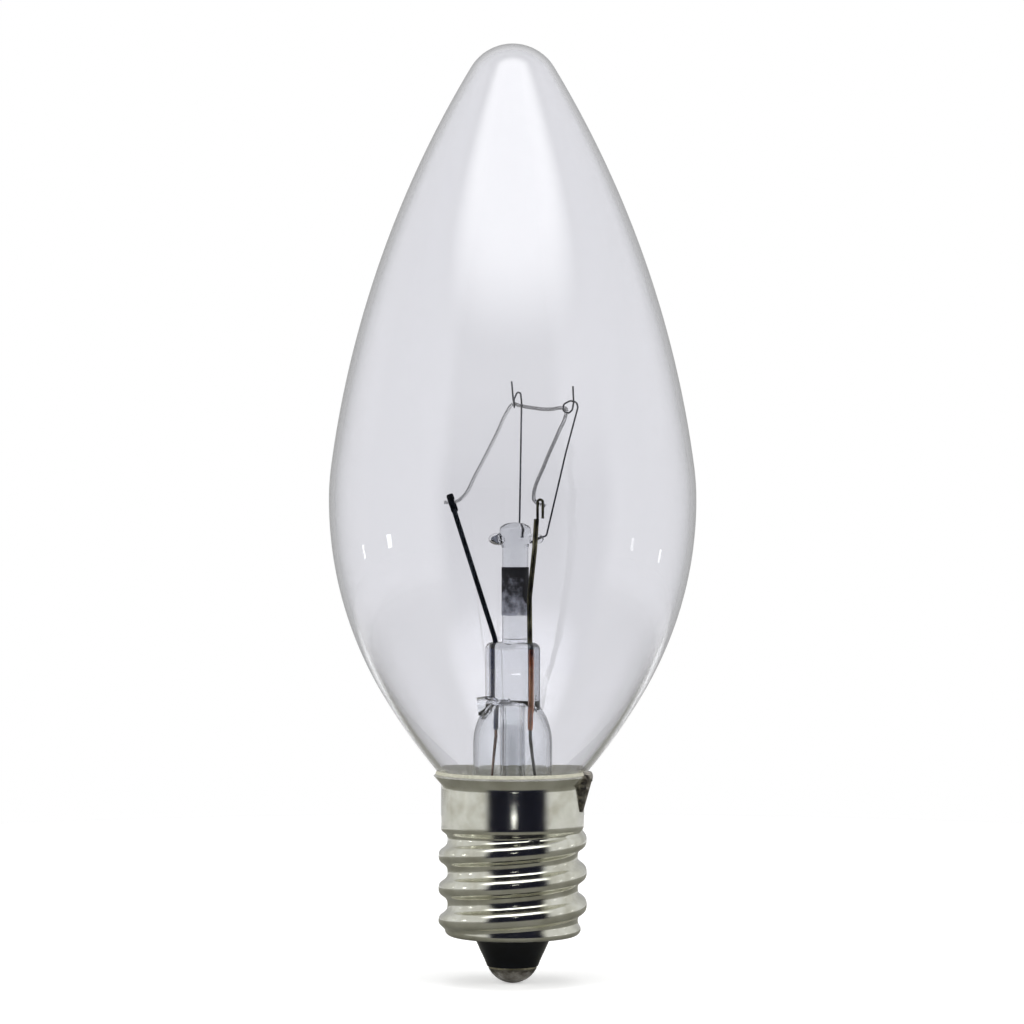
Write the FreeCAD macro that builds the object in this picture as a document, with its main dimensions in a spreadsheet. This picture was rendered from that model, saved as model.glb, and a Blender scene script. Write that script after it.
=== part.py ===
import FreeCAD, Part
import math
import os
import Sketcher
from FreeCAD import Placement, Rotation, Vector

# Clear candle bulb with a small screw base, standing tip up on its centre contact.
# Millimetres; Z up along the axis; origin at the lowest point of the contact; the viewer
# looks along +Y, so X is to the right and the near side is -Y.

doc = FreeCAD.newDocument("candle_bulb")

# Driving dimensions

SIZES = [
    ("overall_length", 73.4, "contact to glass tip"),
    ("glass_radius", 14.35, "widest outside radius of the glass"),
    ("belly_height", 37.75, "height of the widest place"),
    ("glass_wall", 0.45, "thickness of the blown wall"),
    ("tip_wall", 1.0, "thickness of the wall at the pointed tip"),
    ("tip_round", 3.81, "rounding of the tip"),
    ("neck_radius", 4.4, "glass radius inside the metal base"),
    ("neck_round", 1.4, "hollow rounding where the glass runs into its neck"),
    ("rim_clearance", 0.31, "how far the glass passes inside the edge of the metal"),
    ("seal_height", 10.9, "lower end of the glass, where neck and flare are melted together"),
    ("seal_rim", 0.6, "height of the melted rim"),
    ("flare_radius", 3.09, "outside radius of the stem tube"),
    ("flare_wall", 0.4, "thickness of the stem tube"),
    ("flare_top", 21.7, "ceiling inside the stem tube"),
    ("flare_roof", 0.3, "thickness of the glass over that ceiling"),
    ("flare_rise", 3.0, "height over which the tube opens to its rim"),
    ("shoulder_rise", 3.2, "height of the round shoulder of the stem tube"),
    ("shoulder_closing", 1.2, "how far that shoulder draws in"),
    ("press_width", 4.6, "width of the flattened press"),
    ("press_thick", 2.2, "thickness of the flattened press"),
    ("press_top", 26.65, "height of the top of the press"),
    ("press_foot", 20.6, "height where the press goes into the stem tube"),
    ("press_turn", -30, "degrees, turn of the press about the axis"),
    ("press_round", 0.55, "rounding of the shoulders of the press"),
    ("pump_radius", 0.98, "outside radius of the exhaust tube"),
    ("pump_bore", 0.57, "bore of the exhaust tube"),
    ("pump_foot", 8.2, "lowest point of the closed-off exhaust tube"),
    ("pump_hole_height", 21.9, "height of the exhaust hole in the side of the stem"),
    ("rod_radius", 1.02, "radius of the glass rod"),
    ("rod_offset", 0.2, "how far the rod stands to the right of the axis"),
    ("rod_neck", 0.25, "height of the glass neck that carries the rod"),
    ("rod_length", 6.8, "length of the rod between its neck and the button"),
    ("button_radius", 1.22, "radius of the button"),
    ("button_rise", 2.3, "height of the button"),
    ("nub_radius", 0.48, "half height of the two glass nubs beside the button"),
    ("nub_rise", 1.0, "height of the nubs above the lower edge of the button"),
    ("nub_left_out", 0.1, "how far the left nub is centred outside the button"),
    ("nub_right_out", 0.3, "how far the right nub is centred outside the button"),
    ("nub_right_back", 0.5, "how far the right nub lies behind the axis"),
    ("band_height", 3.75, "height of the grey getter band"),
    ("band_drop", 1.2, "how far the band lies below the button"),
    ("band_thick", 0.05, "thickness of the getter band"),
    ("seal_wire_radius", 0.2, "radius of the copper-clad wires in the press"),
    ("seal_wire_place", 1.55, "distance of those wires from the axis"),
    ("seal_wire_low", 19.9, "lower end of those wires"),
    ("seal_wire_high", 26.1, "upper end of those wires"),
    ("lead_radius", 0.2, "radius of the leads above the press"),
    ("lead_left_top", 38.0, "top of the left lead"),
    ("lead_left_out", 4.93, "how far that top lies to the left"),
    ("lead_left_back", 1.6, "how far that top lies behind the axis"),
    ("lead_right_top", 37.75, "top of the right lead"),
    ("lead_right_out", 1.92, "how far that top lies to the right"),
    ("lead_right_front", 3.1, "how far that top lies before the axis"),
    ("tail_radius", 0.09, "radius of the leads below the press"),
    ("support_radius", 0.07, "radius of the support wires"),
    ("coil_radius", 0.15, "outside radius of the filament coil"),
    ("clamp_play", 0.02, "room round the coil in the clamps of the leads"),
    ("hook_left_height", 45.5, "where the filament hangs in the left support"),
    ("hook_left_back", 3.2, "how far that place lies behind the axis"),
    ("hook_right_height", 45.03, "where the filament hangs in the right support"),
    ("hook_right_out", 4.42, "how far that place lies to the right"),
    ("hook_right_back", 0.8, "how far that place lies behind the axis"),
    ("bridge_sag", 0.32, "sag of the filament between the hooks"),
    ("leg_sag", 0.1, "sag of the legs of the filament"),
    ("thread_crest", 5.8, "radius over the thread"),
    ("thread_depth", 0.7, "depth of the rolled thread"),
    ("thread_pitch", 2.54, "rise of the thread in one turn"),
    ("thread_phase", 8.67, "height of the middle crest on the right"),
    ("metal_wall", 0.2, "thickness of the base metal"),
    ("metal_low", 3.73, "underside of the screw base"),
    ("metal_corner", 0.5, "rounding of its lower edge"),
    ("metal_foot_radius", 5.32, "radius below the thread"),
    ("metal_mouth", 2.98, "radius of the opening for the insulator"),
    ("thread_low", 4.35, "where the thread runs out at the bottom"),
    ("skirt_low", 12.3, "lower edge of the plain skirt"),
    ("skirt_radius", 5.59, "radius of the plain skirt"),
    ("lip_start", 15.5, "where the skirt starts to flare"),
    ("lip_height", 16.2, "outer edge of the flared lip"),
    ("lip_radius", 6.18, "radius of that edge"),
    ("cement_low", 12.6, "lower end of the basing cement"),
    ("cement_high", 16.6, "top of the basing cement"),
    ("insulator_mouth_radius", 2.88, "glass insulator where it leaves the metal"),
    ("insulator_flange_radius", 4.72, "flange of the insulator inside the base"),
    ("insulator_top", 6.0, "top of the insulator"),
    ("insulator_tip_radius", 2.0, "lower end of the insulator"),
    ("insulator_tip", 1.35, "height of that end"),
    ("eyelet_radius", 1.85, "flange of the contact eyelet"),
    ("eyelet_tube", 0.7, "outside radius of its tube"),
    ("eyelet_bore", 0.42, "bore of its tube"),
    ("eyelet_thick", 0.15, "thickness of its flanges"),
    ("solder_radius", 1.9, "radius of the solder on the contact"),
    ("solder_height", 1.2, "height of the solder on the contact"),
    ("side_turn", -18, "degrees, place of the side solder round the base"),
    ("side_solder_low", 13.5, "lower point of the side solder"),
    ("side_solder_high", 16.3, "top of the side solder"),
    ("side_solder_radius", 0.62, "half width of the side solder at its top"),
    ("side_solder_lean", 0.32, "how far its top stands off the skirt"),
]

# Heights that follow from the sizes above

HEIGHTS = [
    ("rod_foot", "=press_top + rod_neck", "lower end of the rod"),
    ("button_height", "=rod_foot + rod_length", "lower edge of the button"),
    ("button_top", "=button_height + button_rise", "top of the button"),
    ("band_high", "=button_height - band_drop", "upper edge of the band"),
    ("band_low", "=band_high - band_height", "lower edge of the band"),
]

sheet = doc.addObject("Spreadsheet::Sheet", "sizes")
for row, (alias, value, meaning) in enumerate(SIZES + HEIGHTS, start=1):
    sheet.set(f"A{row}", alias)
    sheet.set(f"B{row}", str(value))
    sheet.set(f"C{row}", meaning)
    sheet.setAlias(f"B{row}", alias)
doc.recompute()

AXIS = Vector(0, 0, 1)
ORIGIN = Vector(0, 0, 0)


def size(alias):
    """Value of one driving dimension."""
    return float(sheet.get(alias))


def formed(name, shape, place=Placement()):
    """Piece whose form no single feature makes; its sizes are read from the sheet."""
    piece = doc.addObject("Part::Feature", name)
    piece.Shape = shape
    piece.Placement = place
    piece.Label = name
    return piece


def primitive(kind, name, **bindings):
    """Basic solid with its properties bound to the sheet; double underscores stand for dots."""
    solid = doc.addObject(kind, name)
    for prop, expression in bindings.items():
        solid.setExpression(prop.replace("__", "."), expression)
    return solid


def turned_body(name, corners):
    """Body turned about Z; each corner of its outline is a pair of expressions, radius and height."""
    body = doc.addObject("PartDesign::Body", name)
    body.Label = name
    sketch = body.newObject("Sketcher::SketchObject", name + "_outline")
    plane = next(f for f in body.Origin.OriginFeatures if f.Role == "XZ_Plane")
    sketch.AttachmentSupport = [(plane, "")]
    sketch.MapMode = "FlatFace"
    spots = [[float(sheet.evalExpression(text)) for text in corner] for corner in corners]
    for index, (radius, height) in enumerate(spots):
        end = spots[(index + 1) % len(spots)]
        sketch.addGeometry(Part.LineSegment(Vector(radius, height, 0), Vector(*end, 0)), False)
    for index in range(len(spots)):
        joint = Sketcher.Constraint("Coincident", index, 2, (index + 1) % len(spots), 1)
        sketch.addConstraint(joint)
    for index, corner in enumerate(corners):
        if spots[index][0] == 0:
            sketch.addConstraint(Sketcher.Constraint("PointOnObject", index, 1, -2))
        else:
            bind_distance(sketch, "DistanceX", index, spots[index][0], corner[0])
        bind_distance(sketch, "DistanceY", index, spots[index][1], corner[1])
    turning = body.newObject("PartDesign::Revolution", name + "_turning")
    turning.Profile = sketch
    turning.ReferenceAxis = (sketch, ["V_Axis"])
    turning.Angle = 360
    return body


def bind_distance(sketch, kind, index, value, expression):
    """Distance from the origin to the start of one line, driven by the sheet."""
    number = sketch.addConstraint(Sketcher.Constraint(kind, -1, 1, index, 1, value))
    words = expression.split(" ")
    bound = " ".join("sizes." + word if word[0].isalpha() else word for word in words)
    sketch.setExpression(f"Constraints[{number}]", bound)


def line(start, end):
    return Part.LineSegment(start, end).toShape()


def arc(centre, radius, start_degrees, end_degrees):
    """Arc in the plane through the axis; angles from +X towards +Z."""
    turns = (start_degrees, (start_degrees + end_degrees) / 2, end_degrees)
    spots = [centre + radius * Vector(math.cos(a), 0, math.sin(a)) for a in map(math.radians, turns)]
    return Part.Arc(*spots).toShape()


def polyline(pairs):
    """Edges that join (radius, height) pairs in the plane through the axis."""
    spots = [Vector(radius, 0, height) for radius, height in pairs]
    return [line(a, b) for a, b in zip(spots, spots[1:])]


def round_between(centre, start, end):
    """Arc round a centre between two places of the plane through the axis, by the short way."""
    radius = (start - centre).Length
    middle = ((start + end) / 2 - centre).normalize() * radius + centre
    return Part.Arc(start, middle, end).toShape()


def meeting_place(first, reach, second, other_reach, side):
    """Place at given distances from two others, on the left (1) or right (-1) of the way there."""
    way = second - first
    along = (reach ** 2 - other_reach ** 2 + way.Length ** 2) / (2 * way.Length)
    across = side * math.sqrt(reach ** 2 - along ** 2)
    way.normalize()
    return first + way * along + Vector(-way.z, 0, way.x) * across


def towards(start, end, distance):
    """Place at a distance from the start, in line with the end."""
    return start + (end - start).normalize() * distance


def rounding(width, rise):
    """Radius of the arc that leaves an upright line and draws in by a width over a rise."""
    return (width ** 2 + rise ** 2) / (2 * width)


def turned(edges):
    """Solid turned about the axis from the closed outline that the edges make."""
    wire = Part.Wire(Part.__sortEdges__(edges))
    solid = Part.Face(wire).revolve(ORIGIN, AXIS, 360)
    if solid.Volume < 0:
        solid.reverse()
    return solid


def bend_places(before, corner, after, bend):
    """Start, middle and end of the round bend at a corner."""
    back, ahead = before - corner, after - corner
    reach = 0.48 * min(back.Length, ahead.Length)
    back.normalize()
    ahead.normalize()
    half = back.getAngle(ahead) / 2
    reach = min(reach, bend / math.tan(half))
    inward = (back + ahead).normalize()
    middle = corner + reach * (1 / math.cos(half) - math.tan(half)) * inward
    return corner + reach * back, middle, corner + reach * ahead


def bent_path(spots, bend):
    """Straight stretches through the given places, each corner rounded by a bend."""
    edges, last = [], spots[0]
    for corner in zip(spots, spots[1:], spots[2:]):
        start, middle, end = bend_places(*corner, bend)
        edges += [line(last, start), Part.Arc(start, middle, end).toShape()]
        last = end
    return Part.Wire(edges + [line(last, spots[-1])])


def round_wire(spots, radius, bend):
    """Round wire with straight stretches and rounded bends."""
    ring = Part.Wire([Part.Circle(spots[0], spots[1] - spots[0], radius).toShape()])
    return bent_path(spots, bend).makePipe(Part.Face(ring))


def straight_wire(start, end, radius):
    """Straight round wire, also used to cut the seat of a straight stretch."""
    return Part.makeCylinder(radius, (end - start).Length, start, end - start)


def block(width, depth, height, centre):
    """Box about a centre."""
    corner = centre - Vector(width / 2, depth / 2, height / 2)
    return Part.makeBox(width, depth, height, corner)


# Glass envelope: one blown torpedo-shaped piece, drawn to a thick tip, with a tubular neck

# Roundings of the belly and the flanks, as shares of the single arc that would do for both
BELLY_UP, FLANK_UP = 0.355, 1.42
BELLY_DOWN, FLANK_DOWN = 0.957, 1.546


def lip_edge(inset):
    """Edge of the flared lip of the base, on its surface moved in by an amount."""
    flare = Vector(size("lip_radius") - size("skirt_radius"), 0, size("lip_height")
                   - size("lip_start")).normalize()
    return Vector(size("lip_radius") - inset * flare.z, 0, size("lip_height") + inset * flare.x)


def neck_inside():
    return size("neck_radius") - size("glass_wall")


def upper_centres():
    """Centres and radii of the belly arc and the flank arc above the widest place."""
    widest, tip = size("glass_radius"), size("tip_round")
    high = Vector(0, 0, size("overall_length") - tip)
    rise = high.z - size("belly_height")
    single = rounding(widest - tip, rise) + tip
    belly, flank = BELLY_UP * single, FLANK_UP * single
    low = Vector(widest - belly, 0, size("belly_height"))
    return low, belly, meeting_place(low, flank - belly, high, flank - tip, 1), flank


def lower_centres():
    """Centres and radii of the arcs below the widest place: belly, flank and hollow."""
    rim = lip_edge(size("metal_wall")) - Vector(size("rim_clearance"), 0, 0)
    single = rounding(size("glass_radius") - rim.x, size("belly_height") - rim.z)
    belly, flank, hollow = BELLY_DOWN * single, FLANK_DOWN * single, size("neck_round")
    high = Vector(size("glass_radius") - belly, 0, size("belly_height"))
    middle = meeting_place(high, flank - belly, rim, flank, -1)
    aside = size("neck_radius") + hollow
    down = math.sqrt((flank + hollow) ** 2 - (aside - middle.x) ** 2)
    return high, belly, middle, flank, Vector(aside, 0, middle.z - down), hollow


def glass_side(wall, tip_wall):
    """Edges of one side of the glass, from the tip down to the lower end of the neck."""
    low, belly, flank_place, flank = upper_centres()
    top = size("overall_length") - tip_wall
    inner_flank, far, up = flank - wall, flank_place.x, flank_place.z - top
    tip_round = (inner_flank ** 2 - far ** 2 - up ** 2) / (2 * (up + inner_flank))
    tip_place = Vector(0, 0, top - tip_round)
    tip_end = towards(flank_place, tip_place, inner_flank)
    belly_end = towards(flank_place, low, inner_flank)
    widest = Vector(size("glass_radius") - wall, 0, size("belly_height"))
    edges = [round_between(tip_place, Vector(0, 0, top), tip_end),
             round_between(flank_place, tip_end, belly_end),
             round_between(low, belly_end, widest)]
    high, belly, flank_place, flank, hollow_place, hollow = lower_centres()
    belly_end = towards(flank_place, high, flank - wall)
    hollow_start = towards(flank_place, hollow_place, flank - wall)
    neck_top = Vector(size("neck_radius") - wall, 0, hollow_place.z)
    edges += [round_between(high, widest, belly_end),
              round_between(flank_place, belly_end, hollow_start),
              round_between(hollow_place, hollow_start, neck_top)]
    return edges + polyline([(neck_top.x, neck_top.z), (neck_top.x, size("seal_height"))])


def filled_glass():
    """Everything inside the outer surface of the glass."""
    low = size("seal_height")
    return turned(glass_side(0, 0) + polyline([
        (size("neck_radius"), low), (0, low), (0, size("overall_length"))]))


def glass_envelope():
    """The wall between the two sides, open at the lower end of the neck."""
    low, high = size("seal_height"), size("overall_length")
    return turned(glass_side(0, 0) + glass_side(size("glass_wall"), size("tip_wall"))
                  + polyline([(size("neck_radius"), low), (neck_inside(), low)])
                  + polyline([(0, high), (0, high - size("tip_wall"))]))


filled = filled_glass()
formed("glass_envelope", glass_envelope())

# Stem: a flared tube, closed above by a flattened press that holds the wires


def stem_side(wall, ceiling, middle):
    """Edges of one side of the stem tube, from its rim to the middle of its ceiling."""
    rim, mouth = size("seal_height") + size("seal_rim"), neck_inside() - wall
    radius, rise = size("flare_radius") - wall, size("flare_rise")
    flare_round = rounding(mouth - radius, rise)
    shoulder_low = size("flare_top") + size("flare_roof") - size("shoulder_rise")
    closing = size("shoulder_closing")
    shoulder_round = rounding(closing, ceiling - shoulder_low)
    flare = round_between(Vector(radius + flare_round, 0, rim + rise), Vector(mouth, 0, rim),
                          Vector(radius, 0, rim + rise))
    shoulder = round_between(Vector(radius - shoulder_round, 0, shoulder_low),
                             Vector(radius, 0, shoulder_low),
                             Vector(radius - closing, 0, ceiling))
    return [flare, shoulder] + polyline([(radius, rim + rise), (radius, shoulder_low)]) + polyline(
        [(radius - closing, ceiling), (0, middle)])


def stem_outside():
    """Outer form of the flared tube with its closed shoulder."""
    low, mouth = size("seal_height"), neck_inside()
    ceiling = size("flare_top") + size("flare_roof")
    middle = ceiling + size("flare_roof")
    return turned(stem_side(0, ceiling, middle) + polyline([
        (mouth, low + size("seal_rim")), (mouth, low), (0, low), (0, middle)]))


def stem_inside():
    """Room inside the stem tube, open below."""
    wall, ceiling = size("flare_wall"), size("flare_top")
    mouth, below = neck_inside() - wall, size("seal_height") - 1
    return turned(stem_side(wall, ceiling, ceiling) + polyline([
        (mouth, size("seal_height") + size("seal_rim")), (mouth, below), (0, below), (0, ceiling)]))


def press():
    """Flattened glass with round edges, turned about the axis."""
    wide, thick = size("press_width"), size("press_thick")
    low, height = size("press_foot"), size("press_top") - size("press_foot")
    solid = block(wide - thick, thick, height, Vector(0, 0, low + height / 2))
    for side in (-1, 1):
        centre = Vector(side * (wide - thick) / 2, 0, low)
        solid = solid.fuse(Part.makeCylinder(thick / 2, height, centre))
    solid = solid.removeSplitter()
    top = [e for e in solid.Edges if abs(e.BoundBox.ZMin - size("press_top")) < 1e-6]
    solid = solid.makeFillet(size("press_round"), top)
    solid.rotate(ORIGIN, AXIS, size("press_turn"))
    return solid


def pump_boss(radius, length):
    """Short tube lying to the left at the height of the exhaust hole."""
    start = Vector(0, 0, size("pump_hole_height"))
    return Part.makeCylinder(radius, length, start, Vector(-1, 0, -0.12))


def seal_wire(side):
    """Copper-clad wire that carries the current through the press."""
    turn = math.radians(size("press_turn"))
    place = side * size("seal_wire_place")
    foot = Vector(place * math.cos(turn), place * math.sin(turn), size("seal_wire_low"))
    length = size("seal_wire_high") - size("seal_wire_low")
    return Part.makeCylinder(size("seal_wire_radius"), length, foot)


def seal_place(side, height):
    """Place on the line of one seal wire at a height."""
    turn = math.radians(size("press_turn"))
    place = side * size("seal_wire_place")
    return Vector(place * math.cos(turn), place * math.sin(turn), height)


LEFT, RIGHT = -1, 1
formed("seal_wire_left", seal_wire(LEFT))
formed("seal_wire_right", seal_wire(RIGHT))

# Filament: coiled wire in an M shape, here with the outside size of its coil


def clamp_left():
    """Top of the left lead, where it holds the filament."""
    return Vector(-size("lead_left_out"), size("lead_left_back"), size("lead_left_top"))


def clamp_right():
    """Top of the right lead."""
    return Vector(size("lead_right_out"), -size("lead_right_front"), size("lead_right_top"))


def share_of_way(start, end, share, sag=0.0):
    """Place on the way between two others, let down by a sag."""
    return start + (end - start) * share - Vector(0, 0, sag)


def filament_path():
    """Middle line of the coil from the left clamp over both hooks to the right clamp."""
    hang, leg = size("bridge_sag"), size("leg_sag")
    start = clamp_left() + Vector(0.93, 0, -0.25)
    end = clamp_right() + Vector(-0.47, 0, -0.05)
    left = Vector(0, size("hook_left_back"), size("hook_left_height"))
    right = Vector(size("hook_right_out"), size("hook_right_back"), size("hook_right_height"))
    return [start + Vector(-1.63, 0, -0.25), start,
            share_of_way(start, left, 0.28, leg), share_of_way(start, left, 0.68, leg), left,
            share_of_way(left, right, 0.37, hang), share_of_way(left, right, 0.65, hang), right,
            share_of_way(right, end, 0.278), share_of_way(right, end, 0.63, -leg), end,
            end + Vector(1.4, 0, -0.6)]


COIL_BEND = 0.45
path = filament_path()
formed("filament", round_wire(path, size("coil_radius"), COIL_BEND))
hang_left = bend_places(*path[3:6], COIL_BEND)[1]
hang_right = bend_places(*path[6:9], COIL_BEND)[1]
tail_left = straight_wire(path[0], path[1], size("coil_radius") + size("clamp_play"))
tail_right = straight_wire(path[-2], path[-1], size("coil_radius") + size("clamp_play"))

# Leads above the press: thick wires with flattened ends folded over the filament


def inner_lead_left():
    foot = seal_place(LEFT, size("seal_wire_high"))
    neck = seal_place(LEFT, size("press_top") + 0.1)
    top = clamp_left()
    wire = round_wire([foot, neck, top + Vector(0.3, -0.02, -1.0)], size("lead_radius"), 2)
    clamp = block(0.55, 0.2, 1.5, Vector(0, 0, 0))
    clamp = clamp.makeFillet(0.15, [e for e in clamp.Edges if e.BoundBox.YLength > 0.1])
    clamp.Placement = Placement(top - Vector(-0.18, 0, 0.5), Rotation(Vector(0, 1, 0), -18))
    fold = block(0.5, 0.16, 0.75, Vector(0, 0, 0))
    fold.Placement = Placement(top - Vector(-0.08, 0.18, 0.3), Rotation(Vector(0, 1, 0), -18))
    return wire.fuse([clamp, fold]).cut(tail_left).removeSplitter()


def inner_lead_right():
    foot = seal_place(RIGHT, size("seal_wire_high"))
    neck = seal_place(RIGHT, size("press_top") + 0.1)
    top = clamp_right()
    knee = top + Vector(-0.08, 0.15, -1.5)
    wire = round_wire([foot, neck, share_of_way(neck, knee, 0.36) + Vector(-0.22, 0, 0),
                       share_of_way(neck, knee, 0.76) + Vector(-0.02, -0.17, 0), knee],
                      size("lead_radius"), 3)
    strip, bend, drop = 0.2, 0.2, 1.45
    front = polyline([(top.x, knee.z - 0.3), (top.x, top.z - bend)])
    path = front + [arc(Vector(top.x + bend, 0, top.z - bend), bend, 180, 0)]
    path += polyline([(top.x + 2 * bend, top.z - bend), (top.x + 2 * bend, top.z - drop)])
    section = Part.makePolygon([Vector(top.x + x, y, knee.z - 0.3) for x, y in (
        (-strip / 2, -0.25), (strip / 2, -0.25), (strip / 2, 0.25), (-strip / 2, 0.25),
        (-strip / 2, -0.25))])
    clamp = Part.Wire(path).makePipeShell([section], True, False)
    clamp.translate(Vector(0, top.y, 0))
    return wire.fuse(clamp).cut(tail_right).removeSplitter()


formed("inner_lead_left", inner_lead_left())
formed("inner_lead_right", inner_lead_right())

# Support wires: thin wires melted into the button, each with an open hook round the filament


def support_left_root():
    """Straight stretch of the left wire that is melted into the button."""
    start = Vector(size("rod_offset") + 0.3, 0.35, size("button_top") - 1.2)
    return [start, start + Vector(0.05, 0.35, 1.5)]


def support_left():
    around = [(0.66, 0.1, 0.1), (0.58, 0.1, 0.86), (0.3, 0.0, 0.86), (0.06, -0.28, 0.3),
              (0.1, -0.3, -0.3), (0.08, 0.31, -0.3), (-0.02, 0.31, 0.5), (-0.13, 0.25, 1.75)]
    spots = support_left_root() + [hang_left + Vector(*step) for step in around]
    return round_wire(spots, size("support_radius"), 0.2)


def support_right_root():
    """Straight stretch of the right wire, out of the side of the button."""
    start = Vector(size("rod_offset") + 0.5, 0.5, size("button_height") + 0.6)
    return [start, start + Vector(1.95, 0.08, 0.65)]


def support_right():
    around = [(-0.04, 0.0, -3.4), (0.9, 0.12, 0.1), (0.8, 0.12, 0.5), (0.3, 0.1, 0.62),
              (-0.2, -0.06, 0.36), (-0.29, -0.1, -0.12), (0.1, 0.1, -0.44),
              (0.46, -0.06, -0.1), (0.56, -0.1, 0.5), (0.5, -0.1, 1.75)]
    spots = support_right_root() + [hang_right + Vector(*step) for step in around]
    return round_wire(spots, size("support_radius"), 0.25)


formed("support_wire_left", support_left())
formed("support_wire_right", support_right())

# Arbor rod: glass rod with a melted button in which the support wires stand

rod_stick = primitive(
    "Part::Cylinder", "rod_stick", Radius="sizes.rod_radius",
    Height="sizes.rod_length + sizes.button_rise * 0.15",
    Placement__Base__x="sizes.rod_offset", Placement__Base__z="sizes.rod_foot")
rod_gather = primitive(
    "Part::Cone", "rod_gather", Radius1="sizes.rod_radius * 0.9", Radius2="sizes.button_radius",
    Height="sizes.button_rise * 0.4",
    Placement__Base__x="sizes.rod_offset", Placement__Base__z="sizes.button_height")
rod_button = primitive(
    "Part::Cylinder", "rod_button", Radius="sizes.button_radius",
    Height="sizes.button_rise * 0.35",
    Placement__Base__x="sizes.rod_offset",
    Placement__Base__z="sizes.button_height + sizes.button_rise * 0.4")
rod_crown = primitive(
    "Part::Ellipsoid", "rod_crown", Radius1="sizes.button_rise * 0.25",
    Radius2="sizes.button_radius", Radius3="sizes.button_radius",
    Placement__Base__x="sizes.rod_offset",
    Placement__Base__z="sizes.button_height + sizes.button_rise * 0.75")
nub_left = primitive(
    "Part::Ellipsoid", "nub_left", Radius1="sizes.nub_radius", Radius2="sizes.nub_radius * 1.6",
    Radius3="sizes.nub_radius * 1.1",
    Placement__Base__x="sizes.rod_offset - sizes.button_radius - sizes.nub_left_out",
    Placement__Base__z="sizes.button_height + sizes.nub_rise")
nub_right = primitive(
    "Part::Ellipsoid", "nub_right", Radius1="sizes.nub_radius * 0.9",
    Radius2="sizes.nub_radius * 1.5", Radius3="sizes.nub_radius",
    Placement__Base__x="sizes.rod_offset + sizes.button_radius + sizes.nub_right_out",
    Placement__Base__y="sizes.nub_right_back", Placement__Base__z="sizes.button_height + sizes.nub_rise")
rod_glass = doc.addObject("Part::MultiFuse", "rod_glass")
rod_glass.Shapes = [rod_stick, rod_gather, rod_button, rod_crown, nub_left, nub_right]
rod_seats = doc.addObject("Part::MultiFuse", "rod_seats")
rod_seats.Shapes = [
    formed("seat_left", straight_wire(*support_left_root(), size("support_radius"))),
    formed("seat_right", straight_wire(*support_right_root(), size("support_radius")))]
arbor_rod = doc.addObject("Part::Cut", "arbor_rod")
arbor_rod.Base, arbor_rod.Tool = rod_glass, rod_seats

# Getter band: thin grey coat round the middle of the rod

band_outside = primitive(
    "Part::Cylinder", "band_outside", Radius="sizes.rod_radius + sizes.band_thick",
    Height="sizes.band_height", Placement__Base__x="sizes.rod_offset",
    Placement__Base__z="sizes.band_low")
band_inside = primitive(
    "Part::Cylinder", "band_inside", Radius="sizes.rod_radius", Height="sizes.band_height",
    Placement__Base__x="sizes.rod_offset", Placement__Base__z="sizes.band_low")
getter_band = doc.addObject("Part::Cut", "getter_band")
getter_band.Base, getter_band.Tool = band_outside, band_inside

# Exhaust tube: thin glass tube under the press, closed off at its lower end

exhaust_tube = turned_body("exhaust_tube", [
    ("pump_bore", "flare_top"), ("pump_radius", "flare_top"), ("pump_radius", "pump_foot + 1.3"),
    ("pump_radius * 0.6", "pump_foot + 0.3"), ("0", "pump_foot"), ("0", "pump_foot + 0.9"),
    ("pump_bore", "pump_foot + 1.5")])

# Screw base: thin metal cup with a rolled round thread, plain skirt and flared lip


def flare_start(inset):
    """Where the skirt's surface, moved in by an amount, turns outwards."""
    edge, radius = lip_edge(inset), size("skirt_radius") - inset
    slope = (size("lip_height") - size("lip_start")) / (size("lip_radius") - size("skirt_radius"))
    return Vector(radius, 0, edge.z - (edge.x - radius) * slope)


def share_between(height, low, high):
    """Smooth share from 0 at the low place to 1 at the high one."""
    way = min(1, max(0, (height - low) / (high - low)))
    return way * way * (3 - 2 * way)


def thread_ring(height, inset):
    """Level section of the rolled base: a circle pushed aside towards the crest of the thread."""
    starts = share_between(height, size("thread_low") - 0.35, size("thread_low") + 0.45)
    ends = share_between(height, size("skirt_low") - 0.8, size("skirt_low"))
    middle = size("thread_crest") - size("thread_depth") / 2
    radius = (size("metal_foot_radius") + (middle - size("metal_foot_radius")) * starts
              + (size("skirt_radius") - middle) * ends)
    push = size("thread_depth") / 2 * starts * (1 - ends)
    turn = 2 * math.pi * (height - size("thread_phase")) / size("thread_pitch")
    return level_circle(radius - inset, height, push * math.cos(turn), push * math.sin(turn))


def level_circle(radius, height, x=0.0, y=0.0):
    return Part.Wire([Part.Circle(Vector(x, y, height), AXIS, radius).toShape()])


OUTER_LAYERS, INNER_LAYERS = 8, 5
CORNER_STEPS = 3


def metal_form(inset, layers_per_turn):
    """Solid inside the surface of the base moved in by an amount: level circles, one on another."""
    foot, low = size("metal_foot_radius") - inset, size("metal_low") + inset
    corner = size("metal_corner") - inset
    rings = []
    for step in range(CORNER_STEPS + 1):
        turn = math.pi / 2 * step / CORNER_STEPS
        rings.append(level_circle(foot - corner + corner * math.sin(turn),
                                  low + corner - corner * math.cos(turn)))
    start, end = size("metal_low") + size("metal_corner"), size("skirt_low")
    layers = round((end - start) / size("thread_pitch") * layers_per_turn)
    rings += [thread_ring(start + (end - start) * step / layers, inset)
              for step in range(1, layers + 1)]
    edge, rim, flare = lip_edge(inset), lip_edge(size("metal_wall")), flare_start(inset)
    rings += [level_circle(flare.x, flare.z), level_circle(edge.x, edge.z)]
    top = level_circle(rim.x, rim.z + inset * 2)
    return Part.makeLoft(rings + [top], True, True)


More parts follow.
